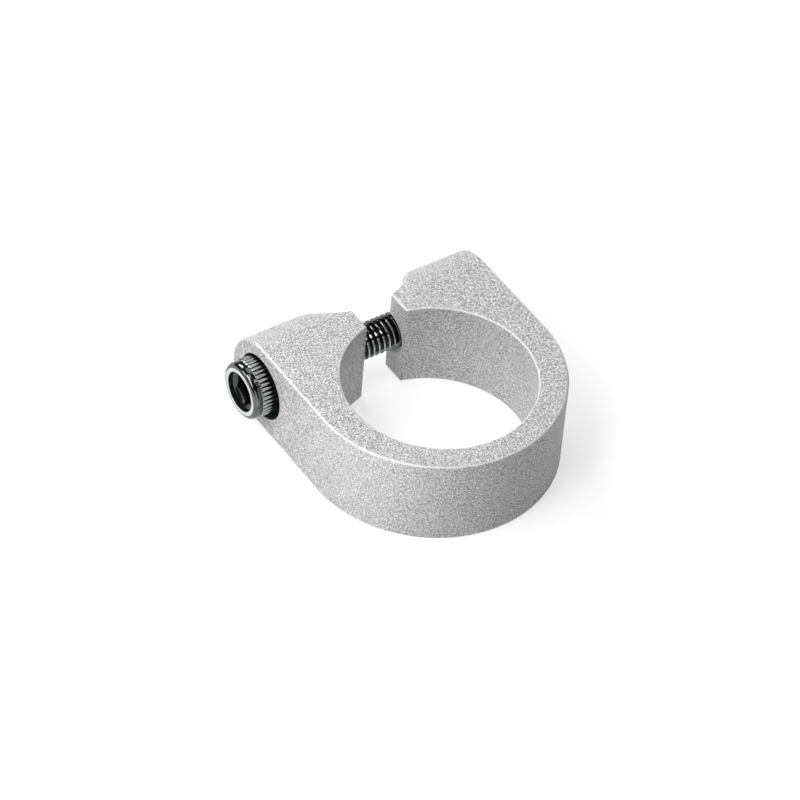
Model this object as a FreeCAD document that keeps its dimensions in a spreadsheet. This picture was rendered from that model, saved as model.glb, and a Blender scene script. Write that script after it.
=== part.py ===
import FreeCAD, Part
import math
import os
import Sketcher

# Seatpost clamp: a one-piece ring with two lugs and a socket head cap screw.
# Frame: origin on the bore axis at the bottom face, +Z up the bore, +X along the screw from its
# head to its tip, +Y to the back, where the slot is. All sizes are millimetres.

SIZES = {
    # ring
    "bore_diameter": 31.8,
    "ring_height": 16.0,
    "outer_radius": 21.45,
    "outer_offset": 1.3,
    "slot_width": 7.6,
    "lug_round_centre": 19.25,
    "scoop_centre": 31.0,
    "scoop_radius": 11.8,
    "edge_radius": 0.4,
    # holes in the lugs
    "screw_back": 19.6,
    "clearance_hole_diameter": 6.8,
    "counterbore_back": 19.0,
    "counterbore_diameter": 11.5,
    "counterbore_depth": 2.5,
    "thread_clearance": 0.05,
    "countersink_diameter": 7.6,
    "countersink_depth": 0.8,
    # screw
    "thread_diameter": 5.9,
    "screw_length": 35.0,
    "tip_chamfer": 0.7,
    "head_diameter": 10.0,
    "head_height": 6.0,
    "face_chamfer_radial": 0.6,
    "face_chamfer_axial": 0.9,
    "under_head_chamfer": 0.2,
    "knurl_length": 4.5,
    "knurl_depth": 0.28,
    "knurl_count": 40,
    "socket_across_flats": 5.0,
    "socket_depth": 3.0,
    "socket_mouth_diameter": 6.5,
    "socket_mouth_depth": 1.9,
}

# how far cutting profiles run past the metal
CUT_MARGIN = 2.0
# a knurl groove's section is drawn this many times as deep and as wide as the groove
GROOVE_REACH = 3


def make_sheet(doc):
    sheet = doc.addObject("Spreadsheet::Sheet", "sizes")
    for row, (alias, value) in enumerate(SIZES.items(), start=1):
        sheet.set(f"A{row}", alias)
        sheet.set(f"B{row}", str(value))
        sheet.setAlias(f"B{row}", alias)
    doc.recompute()
    return sheet


def point(x, y):
    return FreeCAD.Vector(x, y, 0)


def add_sketch(body, name, role):
    sketch = body.newObject("Sketcher::SketchObject", name)
    plane = next(f for f in body.Origin.OriginFeatures if f.Role == role)
    sketch.AttachmentSupport = (plane, [""])
    sketch.MapMode = "FlatFace"
    return sketch


def constrain(sketch, kind, *items):
    return sketch.addConstraint(Sketcher.Constraint(kind, *items))


def bind(sketch, name, expression, kind, *items):
    """Adds a dimension with a name and ties it to the sheet."""
    index = constrain(sketch, kind, *items)
    sketch.renameConstraint(index, name)
    sketch.setExpression(f"Constraints.{name}", expression)


def add_line(sketch, start, end):
    return sketch.addGeometry(Part.LineSegment(start, end), False)


def add_polyline(sketch, points):
    """Adds a closed outline of straight lines and joins its corners."""
    lines = [add_line(sketch, a, b) for a, b in zip(points, points[1:] + points[:1])]
    for line, following in zip(lines, lines[1:] + lines[:1]):
        constrain(sketch, "Coincident", line, 2, following, 1)
    return lines


def add_circle(sketch, centre, radius):
    circle = Part.Circle(centre, FreeCAD.Vector(0, 0, 1), radius)
    return sketch.addGeometry(circle, False)


def add_arc(sketch, centre, radius, start, end):
    circle = Part.Circle(centre, FreeCAD.Vector(0, 0, 1), radius)
    return sketch.addGeometry(Part.ArcOfCircle(circle, start, end), False)


def cut_through(body, name, sketch, midplane=False, reverse=False):
    pocket = body.newObject("PartDesign::Pocket", name)
    pocket.Profile = sketch
    pocket.Type = "ThroughAll"
    pocket.Midplane = midplane
    pocket.Reversed = reverse
    return pocket


# Clamp ring

def ring_outline(body, size):
    """Front arc about a centre behind the bore's, straight sides, straight back."""
    radius, offset = size["outer_radius"], size["outer_offset"]
    back = size["lug_round_centre"] + size["ring_height"] / 2
    sketch = add_sketch(body, "ring_outline", "XY_Plane")
    arc = add_arc(sketch, point(0, offset), radius, math.pi, 2 * math.pi)
    right = add_line(sketch, point(radius, offset), point(radius, back))
    rear = add_line(sketch, point(radius, back), point(-radius, back))
    left = add_line(sketch, point(-radius, back), point(-radius, offset))
    constrain(sketch, "Tangent", arc, 2, right, 1)
    constrain(sketch, "Coincident", right, 2, rear, 1)
    constrain(sketch, "Coincident", rear, 2, left, 1)
    constrain(sketch, "Tangent", left, 2, arc, 1)
    constrain(sketch, "Vertical", right)
    constrain(sketch, "Vertical", left)
    constrain(sketch, "Horizontal", rear)
    constrain(sketch, "PointOnObject", arc, 3, -2)
    bind(sketch, "outer_radius", "sizes.outer_radius", "Radius", arc, radius)
    bind(sketch, "outer_offset", "sizes.outer_offset", "DistanceY", -1, 1, arc, 3, offset)
    bind(sketch, "back_line", "sizes.lug_round_centre + sizes.ring_height / 2",
         "DistanceY", -1, 1, rear, 1, back)
    pad = body.newObject("PartDesign::Pad", "ring_pad")
    pad.Profile = sketch
    pad.setExpression("Length", "sizes.ring_height")


def ring_bore(body, size):
    sketch = add_sketch(body, "bore_circle", "XY_Plane")
    circle = add_circle(sketch, point(0, 0), size["bore_diameter"] / 2)
    constrain(sketch, "Coincident", circle, 3, -1, 1)
    bind(sketch, "bore_diameter", "sizes.bore_diameter", "Diameter", circle, size["bore_diameter"])
    cut_through(body, "bore", sketch, midplane=True)


def ring_slot(body, size):
    """The slot runs from the bore out of the back."""
    half = size["slot_width"] / 2
    back = size["lug_round_centre"] + size["ring_height"] / 2 + CUT_MARGIN
    sketch = add_sketch(body, "slot_outline", "XY_Plane")
    front, right, rear, left = add_polyline(
        sketch, [point(-half, 0), point(half, 0), point(half, back), point(-half, back)])
    for line in (front, rear):
        constrain(sketch, "Horizontal", line)
    for line in (right, left):
        constrain(sketch, "Vertical", line)
    constrain(sketch, "Symmetric", front, 1, front, 2, -1, 1)
    bind(sketch, "slot_width", "sizes.slot_width", "DistanceX", front, 1, front, 2, 2 * half)
    bind(sketch, "slot_end", f"sizes.lug_round_centre + sizes.ring_height / 2 + {CUT_MARGIN}",
         "DistanceY", -1, 1, rear, 1, back)
    cut_through(body, "slot", sketch, midplane=True)


def ring_scoop(body, size):
    """Round relief that widens the slot towards the back."""
    sketch = add_sketch(body, "scoop_circle", "XY_Plane")
    circle = add_circle(sketch, point(0, size["scoop_centre"]), size["scoop_radius"])
    constrain(sketch, "PointOnObject", circle, 3, -2)
    bind(sketch, "scoop_centre", "sizes.scoop_centre", "DistanceY", -1, 1, circle, 3,
         size["scoop_centre"])
    bind(sketch, "scoop_radius", "sizes.scoop_radius", "Radius", circle, size["scoop_radius"])
    cut_through(body, "scoop", sketch, midplane=True)


def ring_round_back(body, size):
    """Full round on the back of both lugs, as high as the ring, in two quarter turns."""
    centre, half = size["lug_round_centre"], size["ring_height"] / 2
    low, high, far = -CUT_MARGIN, 2 * half + CUT_MARGIN, centre + half + CUT_MARGIN
    sketch = add_sketch(body, "round_back_outline", "YZ_Plane")
    corners = [point(centre, 0), point(centre, low), point(far, low), point(far, high),
               point(centre, high), point(centre, 2 * half)]
    lines = [add_line(sketch, a, b) for a, b in zip(corners, corners[1:])]
    lower = add_arc(sketch, point(centre, half), half, -math.pi / 2, 0)
    upper = add_arc(sketch, point(centre, half), half, 0, math.pi / 2)
    for line, following in zip(lines, lines[1:]):
        constrain(sketch, "Coincident", line, 2, following, 1)
    constrain(sketch, "Coincident", lower, 1, lines[0], 1)
    constrain(sketch, "Coincident", upper, 2, lines[-1], 2)
    constrain(sketch, "Coincident", lower, 2, upper, 1)
    constrain(sketch, "Coincident", lower, 3, upper, 3)
    for line in lines[0::2]:
        constrain(sketch, "Vertical", line)
    for line in lines[1::2]:
        constrain(sketch, "Horizontal", line)
    constrain(sketch, "Vertical", lower, 3, lower, 1)
    constrain(sketch, "Vertical", upper, 3, upper, 2)
    constrain(sketch, "Horizontal", lower, 3, lower, 2)
    bind(sketch, "centre_back", "sizes.lug_round_centre", "DistanceX", -1, 1, lower, 3, centre)
    bind(sketch, "centre_up", "sizes.ring_height / 2", "DistanceY", -1, 1, lower, 3, half)
    bind(sketch, "round_radius", "sizes.ring_height / 2", "Radius", lower, half)
    constrain(sketch, "DistanceY", lines[1], 1, lines[0], 1, CUT_MARGIN)
    constrain(sketch, "DistanceY", lines[-1], 2, lines[-1], 1, CUT_MARGIN)
    constrain(sketch, "DistanceX", lower, 2, lines[1], 2, CUT_MARGIN)
    cut_through(body, "round_back", sketch, midplane=True)


def hole_circle(body, name, back, diameter, size):
    """Circle across a hole's axis: back and diameter are each a value and its expression."""
    sketch = add_sketch(body, f"{name}_circle", "YZ_Plane")
    up = size["ring_height"] / 2
    circle = add_circle(sketch, point(back[0], up), diameter[0] / 2)
    bind(sketch, "hole_back", back[1], "DistanceX", -1, 1, circle, 3, back[0])
    bind(sketch, "hole_up", "sizes.ring_height / 2", "DistanceY", -1, 1, circle, 3, up)
    bind(sketch, "hole_diameter", diameter[1], "Diameter", circle, diameter[0])
    return sketch


def sink_hole(body, name, sketch, start, depth):
    """Pocket of a given depth along +X, from a face at start."""
    sketch.setExpression("AttachmentOffset.Base.z", start)
    pocket = body.newObject("PartDesign::Pocket", name)
    pocket.Profile = sketch
    pocket.Type = "Length"
    pocket.Reversed = True
    pocket.setExpression("Length", depth)
    return pocket


def ring_holes(body, size):
    """Counterbored clearance hole in the head's lug, countersunk tapped hole in the other."""
    screw_back = (size["screw_back"], "sizes.screw_back")
    wide = (size["clearance_hole_diameter"], "sizes.clearance_hole_diameter")
    cut_through(body, "clearance_hole",
                hole_circle(body, "clearance_hole", screw_back, wide, size))

    tapped = (size["thread_diameter"] + 2 * size["thread_clearance"],
              "sizes.thread_diameter + 2 * sizes.thread_clearance")
    cut_through(body, "tapped_hole",
                hole_circle(body, "tapped_hole", screw_back, tapped, size), reverse=True)

    seat_back = (size["counterbore_back"], "sizes.counterbore_back")
    seat = (size["counterbore_diameter"], "sizes.counterbore_diameter")
    sink_hole(body, "counterbore", hole_circle(body, "counterbore", seat_back, seat, size),
              "-sizes.outer_radius", "sizes.counterbore_depth")

    mouth = (size["countersink_diameter"], "sizes.countersink_diameter")
    countersink = sink_hole(
        body, "countersink", hole_circle(body, "countersink", screw_back, mouth, size),
        "sizes.slot_width / 2", "sizes.countersink_depth")
    countersink.setExpression(
        "TaperAngle", "-atan2(sizes.countersink_diameter / 2 - sizes.thread_diameter / 2"
        " - sizes.thread_clearance; sizes.countersink_depth)")


def is_outer_edge(edge, size):
    """True for the edges round the outside of the ring: side walls, front arc and lug ends."""
    near = 1e-4
    middle = edge.valueAt(sum(edge.ParameterRange) / 2)
    at_side = abs(abs(middle.x) - size["outer_radius"]) < near
    from_centre = math.hypot(middle.x, middle.y - size["outer_offset"])
    on_front = middle.y < size["outer_offset"] and from_centre > size["outer_radius"] - near
    on_flat = min(abs(middle.z), abs(middle.z - size["ring_height"])) < near
    is_round_back = edge.Curve.TypeId == "Part::GeomCircle" and \
        abs(edge.Curve.Radius - size["ring_height"] / 2) < near
    return on_flat and (at_side or on_front) or at_side and is_round_back


def finish_ring(doc, body, size):
    """Rounds every outer corner of the ring."""
    radius = size["edge_radius"]
    ring = doc.addObject("Part::Fillet", "clamp_ring")
    ring.Base = body
    ring.Edges = [(index, radius, radius)
                  for index, edge in enumerate(body.Shape.Edges, start=1)
                  if is_outer_edge(edge, size)]
    return ring


def make_ring(doc, size):
    body = doc.addObject("PartDesign::Body", "ring_body")
    ring_outline(body, size)
    ring_bore(body, size)
    ring_slot(body, size)
    ring_scoop(body, size)
    ring_round_back(body, size)
    ring_holes(body, size)
    doc.recompute()
    return finish_ring(doc, body, size)


# Screw

def add_revolution(body, sketch):
    """Turns a section about the body's own X axis."""
    turned = body.newObject("PartDesign::Revolution", sketch.Name + "_turned")
    turned.Profile = sketch
    turned.ReferenceAxis = (sketch, ["H_Axis"])
    turned.Angle = 360.0
    return turned


def screw_section(body, size):
    """Half section on the screw's own axis: head to the left of its seat, shank to the right."""
    head, height = size["head_diameter"] / 2, size["head_height"]
    shank, length = size["thread_diameter"] / 2, size["screw_length"]
    face_r, face_x = size["face_chamfer_radial"], size["face_chamfer_axial"]
    under, tip = size["under_head_chamfer"], size["tip_chamfer"]
    mouth, mouth_x = size["socket_mouth_diameter"] / 2, size["socket_mouth_depth"]
    sketch = add_sketch(body, "screw_section", "XY_Plane")
    lines = add_polyline(sketch, [
        point(mouth_x - height, 0), point(length, 0), point(length, shank - tip),
        point(length - tip, shank), point(0, shank), point(0, head - under),
        point(-under, head), point(face_x - height, head), point(-height, head - face_r),
        point(-height, mouth)])
    axis, tip_face, _, side, seat, _, rim, _, face, _ = lines
    for line in (side, rim, axis):
        constrain(sketch, "Horizontal", line)
    for line in (tip_face, seat, face):
        constrain(sketch, "Vertical", line)
    constrain(sketch, "PointOnObject", axis, 1, -1)
    constrain(sketch, "PointOnObject", seat, 1, -2)
    bind(sketch, "head_height", "sizes.head_height", "DistanceX", face, 1, -1, 1, height)
    bind(sketch, "mouth_depth", "sizes.socket_mouth_depth", "DistanceX", face, 2, axis, 1, mouth_x)
    bind(sketch, "mouth_radius", "sizes.socket_mouth_diameter / 2", "DistanceY", -1, 1, face, 2, mouth)
    bind(sketch, "screw_length", "sizes.screw_length", "DistanceX", -1, 1, axis, 2, length)
    bind(sketch, "shank_radius", "sizes.thread_diameter / 2", "DistanceY", -1, 1, side, 1, shank)
    bind(sketch, "head_radius", "sizes.head_diameter / 2", "DistanceY", -1, 1, rim, 1, head)
    bind(sketch, "tip_x", "sizes.tip_chamfer", "DistanceX", side, 1, tip_face, 2, tip)
    bind(sketch, "tip_y", "sizes.tip_chamfer", "DistanceY", tip_face, 2, side, 1, tip)
    bind(sketch, "under_x", "sizes.under_head_chamfer", "DistanceX", rim, 1, seat, 2, under)
    bind(sketch, "under_y", "sizes.under_head_chamfer", "DistanceY", seat, 2, rim, 1, under)
    bind(sketch, "face_x", "sizes.face_chamfer_axial", "DistanceX", face, 1, rim, 2, face_x)
    bind(sketch, "face_y", "sizes.face_chamfer_radial", "DistanceY", face, 1, rim, 2, face_r)
    return sketch


def screw_knurl(doc, body, size):
    """Straight knurl: one V groove from the seat side, repeated round the head."""
    head, depth = size["head_diameter"] / 2, size["knurl_depth"]
    width = GROOVE_REACH * math.pi * size["head_diameter"] / size["knurl_count"]
    outside = (GROOVE_REACH - 1) * depth
    sketch = add_sketch(body, "groove_section", "YZ_Plane")
    right, top, left = add_polyline(
        sketch, [point(0, head - depth), point(width / 2, head + outside),
                 point(-width / 2, head + outside)])
    constrain(sketch, "Symmetric", top, 1, top, 2, -2)
    constrain(sketch, "PointOnObject", right, 1, -2)
    bind(sketch, "groove_floor", "sizes.head_diameter / 2 - sizes.knurl_depth",
         "DistanceY", -1, 1, right, 1, head - depth)
    bind(sketch, "groove_top",
         f"sizes.head_diameter / 2 + ({GROOVE_REACH} - 1) * sizes.knurl_depth",
         "DistanceY", -1, 1, left, 1, head + outside)
    bind(sketch, "groove_width",
         f"{GROOVE_REACH} * pi * sizes.head_diameter / sizes.knurl_count",
         "DistanceX", top, 2, top, 1, width)
    groove = body.newObject("PartDesign::Pocket", "groove")
    groove.Profile = sketch
    groove.Type = "Length"
    groove.setExpression("Length", "sizes.knurl_length")
    doc.recompute()
    ring_of_grooves = body.newObject("PartDesign::PolarPattern", "knurl")
    ring_of_grooves.Originals = [groove]
    axis = next(f for f in body.Origin.OriginFeatures if f.Role == "X_Axis")
    ring_of_grooves.Axis = (axis, [""])
    ring_of_grooves.Angle = 360.0
    ring_of_grooves.setExpression("Occurrences", "sizes.knurl_count")
    body.Tip = ring_of_grooves


def screw_socket(doc, body, size):
    """Hexagon socket, cut through the conical mouth that the section already has."""
    flats, depth = size["socket_across_flats"], size["socket_depth"]
    corner = flats / math.sqrt(3)
    sketch = add_sketch(body, "hexagon", "YZ_Plane")
    sketch.setExpression("AttachmentOffset.Base.z", "-sizes.head_height")
    corners = [point(corner * math.cos(math.radians(60 * turn)),
                     corner * math.sin(math.radians(60 * turn))) for turn in range(6)]
    sides = add_polyline(sketch, corners)
    rim = add_circle(sketch, point(0, 0), corner)
    sketch.setConstruction(rim, True)
    constrain(sketch, "Coincident", rim, 3, -1, 1)
    for side in sides:
        constrain(sketch, "PointOnObject", side, 1, rim)
    for side in sides[1:]:
        constrain(sketch, "Equal", sides[0], side)
    constrain(sketch, "PointOnObject", sides[0], 1, -1)
    bind(sketch, "corner_radius", "sizes.socket_across_flats / sqrt(3)", "Radius", rim, corner)
    hexagon = body.newObject("PartDesign::Pocket", "socket")
    hexagon.Profile = sketch
    hexagon.Type = "Length"
    hexagon.Reversed = True
    hexagon.setExpression("Length", "sizes.socket_depth")


def make_screw(doc, size):
    body = doc.addObject("PartDesign::Body", "clamp_bolt")
    add_revolution(body, screw_section(body, size))
    doc.recompute()
    screw_knurl(doc, body, size)
    doc.recompute()
    screw_socket(doc, body, size)
    body.setExpression("Placement.Base.x", "sizes.counterbore_depth - sizes.outer_radius")
    body.setExpression("Placement.Base.y", "sizes.screw_back")
    body.setExpression("Placement.Base.z", "sizes.ring_height / 2")
    return body


def check(doc, pieces):
    """Stops before anything is written if a feature failed or a piece is no sound solid."""
    for item in doc.Objects:
        if "Invalid" in item.State or "Error" in item.State:
            raise RuntimeError(f"{item.Name} failed: {item.State}")
    for piece in pieces:
        if piece.Shape.isNull() or not piece.Shape.isValid() or len(piece.Shape.Solids) != 1:
            raise RuntimeError(f"{piece.Label} is not one valid solid")


def main():
    doc = FreeCAD.newDocument("seatpost_clamp")
    make_sheet(doc)
    pieces = [make_ring(doc, SIZES), make_screw(doc, SIZES)]
    doc.recompute()
    check(doc, pieces)
    os.makedirs("parts", exist_ok=True)
    for piece in pieces:
        box = piece.Shape.BoundBox
        print(f"{piece.Label}: {piece.Shape.Volume:.1f} mm3, {len(piece.Shape.Faces)} faces, "
              f"X {box.XMin:.2f} to {box.XMax:.2f}, Y {box.YMin:.2f} to {box.YMax:.2f}, "
              f"Z {box.ZMin:.2f} to {box.ZMax:.2f}")
        piece.Shape.exportStep(f"parts/{piece.Label}.step")


main()
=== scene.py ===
import math

import bmesh
import bpy
from mathutils import Matrix, Vector


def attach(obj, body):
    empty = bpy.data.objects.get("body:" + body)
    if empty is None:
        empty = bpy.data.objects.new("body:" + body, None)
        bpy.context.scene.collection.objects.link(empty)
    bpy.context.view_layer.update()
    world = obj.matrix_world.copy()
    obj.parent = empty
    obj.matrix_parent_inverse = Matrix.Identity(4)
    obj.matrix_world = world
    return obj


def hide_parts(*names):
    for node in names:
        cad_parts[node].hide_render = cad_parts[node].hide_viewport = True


# Seatpost clamp: a sand-blasted aluminium ring and a plated socket head screw.
# Metres throughout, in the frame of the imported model: bore axis on Z, screw axis along X.

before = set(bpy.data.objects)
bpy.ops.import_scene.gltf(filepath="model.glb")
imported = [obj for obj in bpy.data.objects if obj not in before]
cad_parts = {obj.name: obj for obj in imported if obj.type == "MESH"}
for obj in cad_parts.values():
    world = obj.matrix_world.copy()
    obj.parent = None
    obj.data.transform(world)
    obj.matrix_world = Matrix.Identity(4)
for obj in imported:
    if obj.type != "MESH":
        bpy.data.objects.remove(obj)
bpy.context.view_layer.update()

MM = 0.001

# Screw, in mm in its own frame: x = 0 at the seat under the head, positive towards the tip
SCREW_SEAT = Vector((-18.95, 19.6, 8.0)) * MM
HEAD_R = 5.0
HEAD_LEN = 6.0
FACE_CHAMFER = (0.9, 0.72)
BAND_END = 4.5
BAND_R = 4.93
FACE_STEPS = 8
KNURL_DEPTH = 0.26
KNURL_COUNT = 40
COLUMNS = KNURL_COUNT * 12
SOCKET_AF = 5.0
SOCKET_CORNER = 0.983
SOCKET_DEPTH = 3.0
SOCKET_MOUTH_R = 3.45
SOCKET_WALL = 0.8
THREAD_R = 2.95
THREAD_PITCH = 1.0
THREAD_DEPTH = 0.6
THREAD_START = 11.0
THREAD_RUN_OUT = 1.2
# One pitch of the thread: how far along it, and how deep
THREAD_PROFILE = [(0.0, 0.0), (0.1, 0.0), (0.38, 1.0), (0.62, 1.0), (0.9, 0.0)]
THREAD_TURN = 60
SCREW_LENGTH = 35.0
TIP_CHAMFER = 0.7
TAPPED_FROM, TAPPED_TO = 16.6, 20.9
TAPPED_R = 3.0
# The ridge in the tapped hole: distance along the hole and rise from its wall, both in mm
TAPPED_SECTION = [(-0.42, 0.08), (-0.06, -0.5), (0.06, -0.5), (0.42, 0.08)]
TAPPED_FADE = 12

# Ring, in mm
OUTER_R, OUTER_CENTRE, OUTER_ROUND = 21.45, 1.3, 0.4
SCREW_BACK = 19.6
COUNTERBORE_BACK, COUNTERBORE_R = 19.0, 5.75
RIM_ROUND = 0.25
HOLE_ROUND = 0.2
HOLE_REACH = 4.0
TOUCH = 0.02
SEAT_MARGIN = 0.05

# Metres: how near points of the ring and of the screw are joined
WELD = 2e-6

# Degrees
SHARP_EDGE = 35
FLAT_JOIN = 0.6
SCREW_SMOOTH = 33
RIDGE_SMOOTH = 40

# Material slots of the ring, then of the screw. The ring's seat slot and the screw's socket slot hold
# near-black painted shade, the ring's edge slot a lighter painted highlight; the screw's dark and crest
# slots are shaded and lit copies of one steel, painted shade and painted highlight.
ALUMINIUM, SEAT, PAINTED_HIGHLIGHT_EDGES = range(3)
BRIGHT, SOCKET, PAINTED_SHADE, PAINTED_LIGHT_CREST = range(4)

METAL_SHARE = 0.15

# Metres
CENTRE = Vector((0.0, 0.003, 0.008))
FLOOR_DROP = 0.00002
FLOOR_SIZE = 6.0
FLOOR_TONE = 0.55
FLOOR_LIFT = 0.62


# Mesh helpers


def new_piece(bm, name, body, node=None):
    mesh = bpy.data.meshes.new(name)
    bm.to_mesh(mesh)
    bm.free()
    obj = bpy.data.objects.new(name, mesh)
    bpy.context.scene.collection.objects.link(obj)
    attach(obj, body)
    if node:
        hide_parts(node)
    return obj


def on_screw_axis(x, r, angle):
    return SCREW_SEAT + Vector((x, r * math.cos(angle), r * math.sin(angle))) * MM


def clean(bm, distance=1e-8):
    bmesh.ops.remove_doubles(bm, verts=bm.verts, dist=distance)
    bmesh.ops.dissolve_degenerate(bm, edges=bm.edges, dist=distance)
    bmesh.ops.recalc_face_normals(bm, faces=bm.faces)


def smooth(obj, angle):
    for polygon in obj.data.polygons:
        polygon.use_smooth = True
    obj.data.set_sharp_from_angle(angle=math.radians(angle))


# The ring


def off_axis(co, back):
    """Distance in mm from a hole's axis: it runs along X at half the ring's height."""
    return math.hypot(co.y / MM - back, co.z / MM - SCREW_SEAT.z / MM)


def on_outside(co):
    """True on the outer rim, where the solid has its round already."""
    x, y = co.x / MM, co.y / MM
    inner = OUTER_R - OUTER_ROUND - TOUCH / 2
    return abs(x) > inner or y < OUTER_CENTRE and math.hypot(x, y - OUTER_CENTRE) > inner


def at_counterbore(co):
    return off_axis(co, COUNTERBORE_BACK) < COUNTERBORE_R + TOUCH


def is_sharp(edge):
    return edge.calc_face_angle(0.0) > math.radians(SHARP_EDGE)


def rim_width(edge):
    """How far a sharp edge of the ring is rounded, in mm."""
    ends = [v.co for v in edge.verts]
    if all(off_axis(co, SCREW_BACK) < HOLE_REACH or at_counterbore(co) for co in ends):
        return HOLE_ROUND if all(abs(co.x / MM) > OUTER_R - TOUCH / 2 for co in ends) else 0.0
    if any(on_outside(co) for co in ends):
        return 0.0
    upright = abs(ends[0].x - ends[1].x) + abs(ends[0].y - ends[1].y) < TOUCH / 2 * MM
    return 0.0 if upright else RIM_ROUND


# Faces inside the counterbore, which get the near-black painted shade.
def in_counterbore(face):
    return all(v.co.x < SCREW_SEAT.x + SEAT_MARGIN * MM and at_counterbore(v.co) for v in face.verts)


def on_outer_round(face):
    """True on the small round between the outside and the flat faces."""
    low = min(v.co.z for v in face.verts) / MM
    high = max(v.co.z for v in face.verts) / MM
    top = 2 * SCREW_SEAT.z / MM
    in_band = high < OUTER_ROUND + TOUCH or low > top - OUTER_ROUND - TOUCH
    return in_band and 0.5 < abs(face.normal.z) < 0.99 and all(on_outside(v.co) for v in face.verts)


def make_ring():
    bm = bmesh.new()
    bm.from_mesh(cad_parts["clamp_ring"].data)
    bmesh.ops.remove_doubles(bm, verts=bm.verts, dist=WELD)
    bmesh.ops.dissolve_limit(bm, angle_limit=math.radians(FLAT_JOIN), verts=bm.verts, edges=bm.edges)
    weights = bm.edges.layers.float.new("bevel_weight_edge")
    for edge in bm.edges:
        if is_sharp(edge):
            edge[weights] = rim_width(edge) / RIM_ROUND
            edge.smooth = edge[weights] > 0
    for face in bm.faces:
        face.smooth = True
        # Faces in the counterbore get near-black painted shade.
        if in_counterbore(face):
            face.material_index = SEAT
        # Faces on the outer round get a lighter tone as painted highlight.
        elif on_outer_round(face):
            face.material_index = PAINTED_HIGHLIGHT_EDGES
    ring = new_piece(bm, "ring", "ring", "clamp_ring")
    rims = ring.modifiers.new("rims", "BEVEL")
    rims.width = RIM_ROUND * MM
    rims.segments = 3
    # The bevelled rims get the same lighter painted highlight.
    rims.material = PAINTED_HIGHLIGHT_EDGES
    rims.limit_method = "WEIGHT"
    rims.use_clamp_overlap = False
    flats = ring.modifiers.new("flats", "WEIGHTED_NORMAL")
    flats.mode = "FACE_AREA"
    flats.weight = 80
    flats.keep_sharp = True
    return ring


# The screw


def hexagon_r(angle):
    side = (angle + math.pi / 6) % (math.pi / 3) - math.pi / 6
    return min(SOCKET_AF / 2 / math.cos(side), SOCKET_CORNER * SOCKET_AF / math.sqrt(3))


def head_rows():
    """Rows of (x, r) for each column, from the bottom of the socket out over the head to its seat."""
    angles = [2 * math.pi * j / COLUMNS for j in range(COLUMNS)]
    hexagon = [hexagon_r(a) for a in angles]
    lip = [-HEAD_LEN + SOCKET_WALL + 0.6 * (SOCKET_MOUTH_R - 0.2 - h) for h in hexagon]
    ridge = [abs(math.cos(KNURL_COUNT / 2 * a)) for a in angles]

    def level(x, r):
        return [(x, r)] * COLUMNS

    def knurl(x, share, crest=HEAD_R):
        return [(x, crest - KNURL_DEPTH * share * (1 - g)) for g in ridge]

    floor = -HEAD_LEN + SOCKET_DEPTH
    rows = [
        level(floor + 0.5, 0.02),
        level(floor + 0.1, 1.9),
        [(floor, h - 0.12) for h in hexagon],
        [(floor - 0.12, h) for h in hexagon],
    ]
    rows.append([(x + 0.05, h) for x, h in zip(lip, hexagon)])
    rows.append([(x - 0.02, h + 0.045) for x, h in zip(lip, hexagon)])
    rows.append(level(-HEAD_LEN + SOCKET_WALL - 0.05, SOCKET_MOUTH_R - 0.17))
    rows.append(level(-HEAD_LEN + 0.05, SOCKET_MOUTH_R - 0.02))
    rows.append(level(-HEAD_LEN, SOCKET_MOUTH_R + 0.04))
    face_x, face_r = FACE_CHAMFER
    edge_r = BAND_R - face_r
    rows.append(level(-HEAD_LEN, edge_r - 0.08))
    for step in range(1, FACE_STEPS + 1):
        turn = math.pi / 2 * step / FACE_STEPS
        rows.append(level(-HEAD_LEN + face_x * (1 - math.cos(turn)), edge_r + face_r * math.sin(turn)))
    rows.append(level(-BAND_END - 0.08, BAND_R))
    rows.append(knurl(-BAND_END, 0.25, HEAD_R - 0.05))
    rows.append(knurl(-BAND_END + 0.1, 0.7, HEAD_R - 0.012))
    rows.append(knurl(-BAND_END + 0.25, 1.0))
    rows.append(knurl(-0.3, 1.0))
    rows.append(level(-0.05, HEAD_R - KNURL_DEPTH - 0.05))
    rows.append(level(0, HEAD_R - KNURL_DEPTH - 0.15))
    rows.append(level(0, THREAD_R + 0.3))
    rows.append(level(0.3, THREAD_R))
    rows.append(level(THREAD_START - 0.9, THREAD_R))
    rows.append(level(THREAD_START - 0.6, THREAD_R))
    return angles, rows


def make_head(bm):
    angles, rows = head_rows()
    grid = [[bm.verts.new(on_screw_axis(x, r, a)) for (x, r), a in zip(row, angles)] for row in rows]
    for near, far in zip(grid, grid[1:]):
        for j in range(COLUMNS):
            k = (j + 1) % COLUMNS
            bm.faces.new((near[j], near[k], far[k], far[j]))
    bm.faces.new(grid[0])
    bm.faces.new(list(reversed(grid[-1])))


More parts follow.
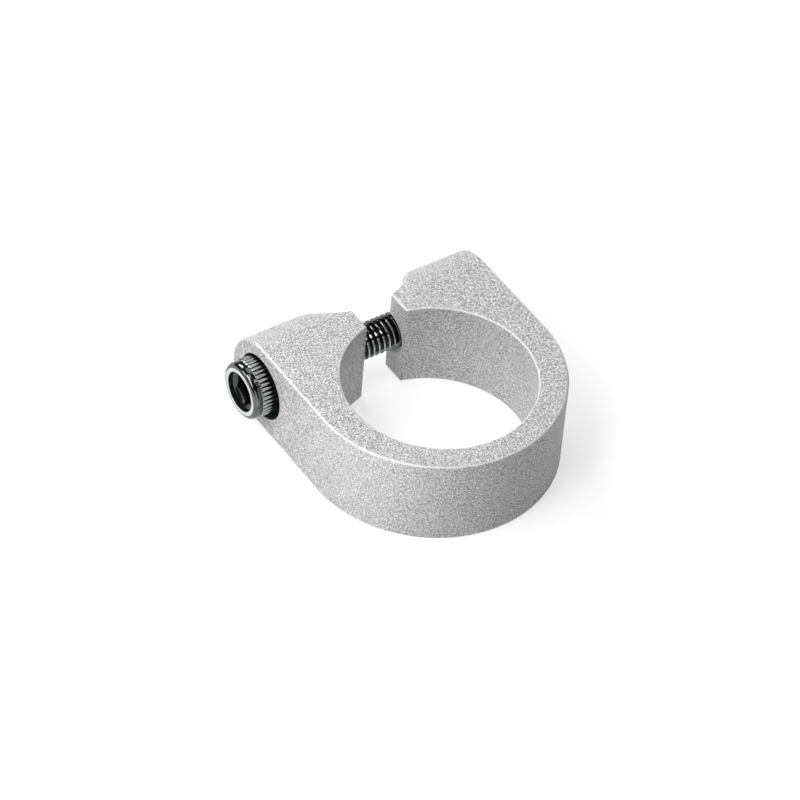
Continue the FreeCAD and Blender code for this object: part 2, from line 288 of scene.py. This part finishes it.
def make_thread(bm):
    """A right-hand thread: each row follows the helix, and what lies past either end is drawn in to it."""
    start, end = THREAD_START - 0.5, SCREW_LENGTH
    turns = int((end - start) / THREAD_PITCH) + 3

    def radius(x, share):
        r = THREAD_R - THREAD_DEPTH * share
        run_out = max(0.0, min(1.0, (x - start) / THREAD_RUN_OUT))
        r = THREAD_R + (r - THREAD_R) * run_out
        return min(r, THREAD_R - TIP_CHAMFER + (end - x))

    rows = [((turn - 1) * THREAD_PITCH + part * THREAD_PITCH, share)
            for turn in range(turns) for part, share in THREAD_PROFILE]
    grid = []
    for offset, share in rows:
        line = []
        for j in range(THREAD_TURN + 1):
            along = offset + THREAD_PITCH * j / THREAD_TURN
            x = min(max(start + along, start), end)
            line.append(bm.verts.new(on_screw_axis(x, radius(x, share), 2 * math.pi * j / THREAD_TURN)))
        grid.append(line)
    for near, far in zip(grid, grid[1:]):
        for j in range(THREAD_TURN):
            bm.faces.new((near[j], near[j + 1], far[j + 1], far[j]))


# Faces inside the hex socket, which get the near-black painted shade.
def in_socket(face):
    return all(v.co.x < SCREW_SEAT.x and off_axis(v.co, SCREW_BACK) < SOCKET_MOUTH_R for v in face.verts)


def screw_zone(face):
    """The face's material slot. The socket gets near-black painted shade; thread flanks, smooth band and
    knurl grooves get a darker copy of the steel as painted shade; thread crests a lighter copy as painted
    highlight.
    """
    if in_socket(face):
        return SOCKET
    centre = face.calc_center_median() - SCREW_SEAT
    x, r = centre.x / MM, math.hypot(centre.y, centre.z) / MM
    if x > THREAD_START - 1:
        return PAINTED_LIGHT_CREST if r > THREAD_R - 0.1 * THREAD_DEPTH else PAINTED_SHADE
    if -HEAD_LEN + 0.02 < x < -BAND_END - 0.1:
        return PAINTED_SHADE
    return PAINTED_SHADE if x < 0 and THREAD_R + 1 < r < HEAD_R - 0.45 * KNURL_DEPTH else BRIGHT


def make_screw():
    bm = bmesh.new()
    make_head(bm)
    make_thread(bm)
    tip = [bm.verts.new(on_screw_axis(SCREW_LENGTH, THREAD_R - TIP_CHAMFER, 2 * math.pi * j / THREAD_TURN))
           for j in range(THREAD_TURN)]
    bm.faces.new(tip)
    clean(bm, WELD)
    for face in bm.faces:
        face.material_index = screw_zone(face)
    screw = new_piece(bm, "screw", "bolt", "clamp_bolt")
    smooth(screw, SCREW_SMOOTH)
    return screw


def make_tapped_thread():
    """One helical ridge on the wall of the tapped hole's open end, past the tip of the screw."""
    bm = bmesh.new()
    start = TAPPED_FROM - SCREW_SEAT.x / MM
    turns = (TAPPED_TO - TAPPED_FROM) / THREAD_PITCH
    steps = int(turns * THREAD_TURN)
    grid = []
    for i in range(steps + 1):
        angle = 2 * math.pi * i / THREAD_TURN
        fade = min(1.0, i / TAPPED_FADE, (steps - i) / TAPPED_FADE)
        line = []
        for along, rise in TAPPED_SECTION:
            x = start + THREAD_PITCH * i / THREAD_TURN + along
            r = TAPPED_R + (rise if rise > 0 else rise * fade)
            line.append(bm.verts.new(on_screw_axis(x, r, angle)))
        grid.append(line)
    for near, far in zip(grid, grid[1:]):
        for k in range(len(TAPPED_SECTION)):
            n = (k + 1) % len(TAPPED_SECTION)
            bm.faces.new((near[k], near[n], far[n], far[k]))
    bm.faces.new(grid[0])
    bm.faces.new(list(reversed(grid[-1])))
    clean(bm)
    ridge = new_piece(bm, "tapped_thread", "ring")
    smooth(ridge, RIDGE_SMOOTH)
    return ridge


# Materials


class Nodes:
    """A material's node tree, with short calls to add and join nodes."""

    def __init__(self, name):
        self.material = bpy.data.materials.new(name)
        self.material.use_nodes = True
        self.tree = self.material.node_tree
        self.shader = self.tree.nodes["Principled BSDF"]

    def add(self, kind, **values):
        node = self.tree.nodes.new(kind)
        for key, value in values.items():
            if hasattr(node, key):
                setattr(node, key, value)
            else:
                node.inputs[key.replace("_", " ").title()].default_value = value
        return node

    def join(self, source, output, target, socket):
        self.tree.links.new(source.outputs[output], target.inputs[socket])


def ramp(n, dark, light, low, high):
    tone = n.add("ShaderNodeValToRGB")
    for element, position, color in zip(tone.color_ramp.elements, (low, high), (dark, light)):
        element.position = position
        element.color = (*color, 1)
    return tone


def blasted_aluminium(name, dark, light, polish):
    """Fine sand-blasted metal: a speckle about 0.15 mm across in the tone and in the surface."""
    n = Nodes(name)
    place = n.add("ShaderNodeTexCoord")
    grain = n.add("ShaderNodeTexNoise", scale=6600.0, detail=1.0, roughness=0.6)
    coarse = n.add("ShaderNodeTexNoise", scale=160.0, detail=2.0, roughness=0.5)
    for texture in (grain, coarse):
        n.join(place, "Object", texture, "Vector")
    tone = ramp(n, dark, light, 0.43, 0.57)
    n.join(grain, "Fac", tone, "Fac")
    n.join(tone, "Color", n.shader, "Base Color")
    rough = n.add("ShaderNodeMapRange")
    rough.inputs["To Min"].default_value = 0.40 - polish
    rough.inputs["To Max"].default_value = 0.54 - polish
    n.join(coarse, "Fac", rough, "Value")
    n.join(rough, "Result", n.shader, "Roughness")
    bump = n.add("ShaderNodeBump")
    bump.inputs["Strength"].default_value = 1.0
    bump.inputs["Distance"].default_value = 0.09 * MM
    n.join(grain, "Fac", bump, "Height")
    n.join(bump, "Normal", n.shader, "Normal")
    n.shader.inputs["Metallic"].default_value = METAL_SHARE
    n.shader.inputs["Specular IOR Level"].default_value = 0.25
    return n.material


def bright_steel(name, dark, light):
    n = Nodes(name)
    place = n.add("ShaderNodeTexCoord")
    wear = n.add("ShaderNodeTexNoise", scale=900.0, detail=3.0, roughness=0.6)
    n.join(place, "Object", wear, "Vector")
    tone = ramp(n, dark, light, 0.35, 0.65)
    n.join(wear, "Fac", tone, "Fac")
    n.join(tone, "Color", n.shader, "Base Color")
    rough = n.add("ShaderNodeMapRange")
    rough.inputs["To Min"].default_value = 0.10
    rough.inputs["To Max"].default_value = 0.22
    n.join(wear, "Fac", rough, "Value")
    n.join(rough, "Result", n.shader, "Roughness")
    n.shader.inputs["Metallic"].default_value = 1.0
    return n.material


def plated_steel():
    return bright_steel("plated_steel", (0.52, 0.53, 0.53), (0.66, 0.67, 0.67))


def painted_shade_steel():
    """Painted shade: thread flanks, smooth band and knurl grooves get this copy of the plated steel,
    darker than the ridges and the face.
    """
    return bright_steel("painted_shade_steel", (0.09, 0.095, 0.095), (0.15, 0.155, 0.155))


# Painted light and shade on the thread crests: a copy of the plated steel, darker than the head's and
# lighter than the flanks.
def painted_light_crest_steel():
    return bright_steel("painted_light_crest_steel", (0.36, 0.365, 0.365), (0.50, 0.505, 0.505))


# Painted shade: near-black, not metal, for the floor and wall of the counterbore around the screw head.
def painted_shade_seat():
    n = Nodes("painted_shade_seat")
    n.shader.inputs["Base Color"].default_value = (0.05, 0.055, 0.055, 1)
    n.shader.inputs["Roughness"].default_value = 0.6
    return n.material


# Painted shade: near-black metal for the inside of the hex socket.
def painted_shade_socket():
    n = Nodes("painted_shade_socket")
    n.shader.inputs["Base Color"].default_value = (0.07, 0.075, 0.075, 1)
    n.shader.inputs["Metallic"].default_value = 1.0
    n.shader.inputs["Roughness"].default_value = 0.22
    return n.material


# Floor, lamps and camera


def make_floor():
    """A pale matt floor. What the camera and the metal see of it is lifted towards white."""
    bpy.ops.mesh.primitive_plane_add(size=FLOOR_SIZE, location=(0, 0, -FLOOR_DROP))
    floor = bpy.context.object
    floor.name = "floor"
    n = Nodes("floor")
    n.shader.inputs["Base Color"].default_value = (FLOOR_TONE, FLOOR_TONE, FLOOR_TONE, 1)
    n.shader.inputs["Roughness"].default_value = 0.9
    n.shader.inputs["Emission Color"].default_value = (1, 1, 1, 1)
    path = n.add("ShaderNodeLightPath")
    seen = n.add("ShaderNodeMath", operation="MAXIMUM")
    n.join(path, "Is Camera Ray", seen, 0)
    n.join(path, "Is Glossy Ray", seen, 1)
    through = n.add("ShaderNodeMath", operation="MAXIMUM")
    n.join(seen, 0, through, 0)
    n.join(path, "Is Transmission Ray", through, 1)
    lift = n.add("ShaderNodeMath", operation="MULTIPLY")
    lift.inputs[1].default_value = FLOOR_LIFT
    n.join(through, 0, lift, 0)
    n.join(lift, 0, n.shader, "Emission Strength")
    floor.data.materials.append(n.material)
    return floor


def lamp(name, azimuth, elevation, distance, size, level):
    """A round soft box, its angles in degrees. level is what it adds to a white surface that faces it."""
    data = bpy.data.lights.new(name, "AREA")
    data.shape = "DISK"
    data.size = size
    data.energy = level * math.pi ** 2 * distance ** 2
    obj = bpy.data.objects.new(name, data)
    a, e = math.radians(azimuth), math.radians(elevation)
    away = Vector((math.cos(a) * math.cos(e), math.sin(a) * math.cos(e), math.sin(e)))
    obj.location = CENTRE + away * distance
    obj.rotation_euler = away.to_track_quat("Z", "Y").to_euler()
    obj.visible_camera = False
    bpy.context.scene.collection.objects.link(obj)
    return obj


# Name, azimuth, elevation, distance, diameter, level
LAMPS = [
    ("back", 90, 33, 0.5, 0.22, 0.42),
    ("left_back", 150, 32, 0.5, 0.22, 0.20),
    ("left", 180, 32, 0.5, 0.22, 0.02),
    ("left_front", 200, 40, 0.5, 0.20, 0.20),
    ("left_near", 210, 12, 0.050, 0.03, 0.11),
    ("left_high", 180, 58, 0.5, 0.22, 0.36),
    ("top", 0, 88, 0.5, 0.12, 0.06),
    ("right_high", 55, 60, 0.5, 0.22, 0.08),
    ("glint_high", -42, 54, 0.5, 0.16, 0.09),
    ("glint_front", -61, 22, 0.5, 0.08, 0.01),
]
WORLD_LEVEL = 0.03


def make_light():
    for row in LAMPS:
        lamp(*row)
    world = bpy.data.worlds.new("studio")
    world.use_nodes = True
    background = world.node_tree.nodes["Background"]
    background.inputs["Color"].default_value = (1, 1, 1, 1)
    background.inputs["Strength"].default_value = WORLD_LEVEL
    bpy.context.scene.world = world


def make_camera():
    right = Vector((0.83381226, -0.54830538, 0.06417423))
    up = Vector((0.34822937, 0.61260117, 0.70954641))
    back = Vector((-0.42836132, -0.56928114, 0.70173040))
    place = Vector((-0.33807378, -0.43936387, 0.55612205))
    data = bpy.data.cameras.new("camera")
    data.sensor_width = 36.0
    data.lens = 218.735
    data.clip_start = 0.01
    data.clip_end = 20.0
    camera = bpy.data.objects.new("camera", data)
    turn = Matrix((right, up, back)).transposed().to_4x4()
    camera.matrix_world = Matrix.Translation(place) @ turn
    bpy.context.scene.collection.objects.link(camera)
    bpy.context.scene.camera = camera


ring = make_ring()
screw = make_screw()
tapped_thread = make_tapped_thread()
aluminium = blasted_aluminium("blasted_aluminium", (0.28, 0.277, 0.28), (1.0, 0.99, 1.0), 0.0)
# Rounded edges: a lighter tone as painted highlight, and less rough.
edges = blasted_aluminium("painted_highlight_edges", (0.75, 0.745, 0.75), (1.0, 1.0, 1.0), 0.15)
steel = plated_steel()
finishes = [
    (ring, {ALUMINIUM: aluminium, SEAT: painted_shade_seat(), PAINTED_HIGHLIGHT_EDGES: edges}),
    (screw, {BRIGHT: steel, SOCKET: painted_shade_socket(), PAINTED_SHADE: painted_shade_steel(), PAINTED_LIGHT_CREST: painted_light_crest_steel()}),
    (tapped_thread, {ALUMINIUM: aluminium}),
]
for piece, slots in finishes:
    for index in sorted(slots):
        piece.data.materials.append(slots[index])
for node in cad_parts.values():
    node.data.materials.clear()
    node.data.materials.append(aluminium if node.name == "clamp_ring" else steel)
make_floor()
make_light()
make_camera()
bpy.context.scene.view_settings.view_transform = "Standard"
